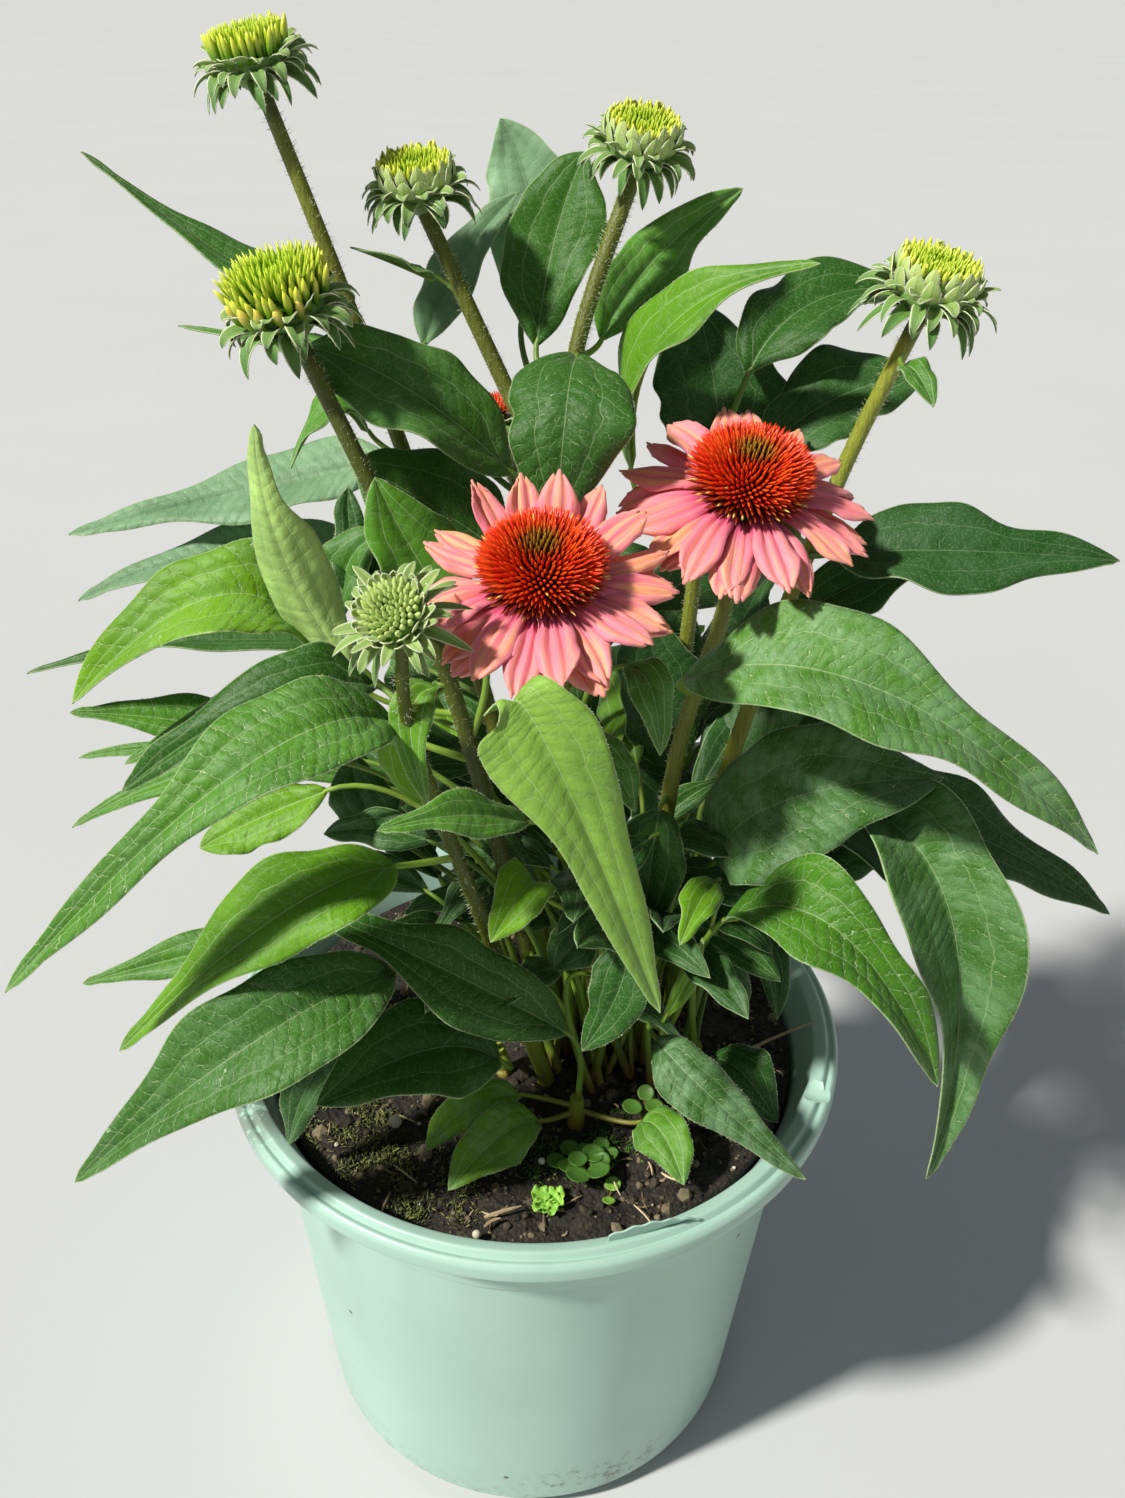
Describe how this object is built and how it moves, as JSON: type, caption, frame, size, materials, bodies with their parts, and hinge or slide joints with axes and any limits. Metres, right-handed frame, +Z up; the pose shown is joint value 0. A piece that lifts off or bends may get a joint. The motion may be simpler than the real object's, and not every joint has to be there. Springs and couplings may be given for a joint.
{
  "type": "potted coneflower plant",
  "caption": "Coneflower plant with leafy stems, spiny cones, drooping ray petals and green buds, growing in a round nursery pot filled with soil.",
  "frame": {"origin": "centre of the flat underside of the pot, on the surface that it stands on", "axes": "+Z up along the pot's axis and the stems; -Y towards the plant's front, which the two open flowers face; +X to the right as seen from the front"},
  "size_m": [0.34, 0.211, 0.4734],
  "materials": {
    "pot": "matt injection-moulded polypropylene, mint green, dusty with potting mix",
    "soil": null,
    "foliage": null,
    "florets": "fleshy lime-green florets, satin",
    "rays": "thin salmon-pink petal, matt with fine lengthwise ribs",
    "cone": "stiff spiny orange-red chaff, satin"
  },
  "bodies": {
    "root": {"pot": "pot", "soil": "soil", "bud_shoot_1": "foliage", "bud_shoot_2": "foliage", "bud_shoot_3": "foliage", "bud_shoot_4": "foliage", "bud_shoot_5": "foliage", "bloom_shoot_1": "foliage", "bloom_shoot_2": "foliage", "leafy_shoot": "foliage", "basal_leaves_left": "foliage", "basal_leaves_front": "foliage", "basal_leaves_middle": "foliage", "basal_leaves_right": "foliage", "bud_florets_1": "florets", "bud_florets_2": "florets", "bud_florets_3": "florets", "bud_florets_4": "florets", "bud_florets_5": "florets", "bud_florets_6": "florets", "young_cone": "cone", "bloom_rays_1": "rays", "bloom_rays_2": "rays", "bloom_cone_1": "cone", "bloom_cone_2": "cone"}
  },
  "joints": []
}
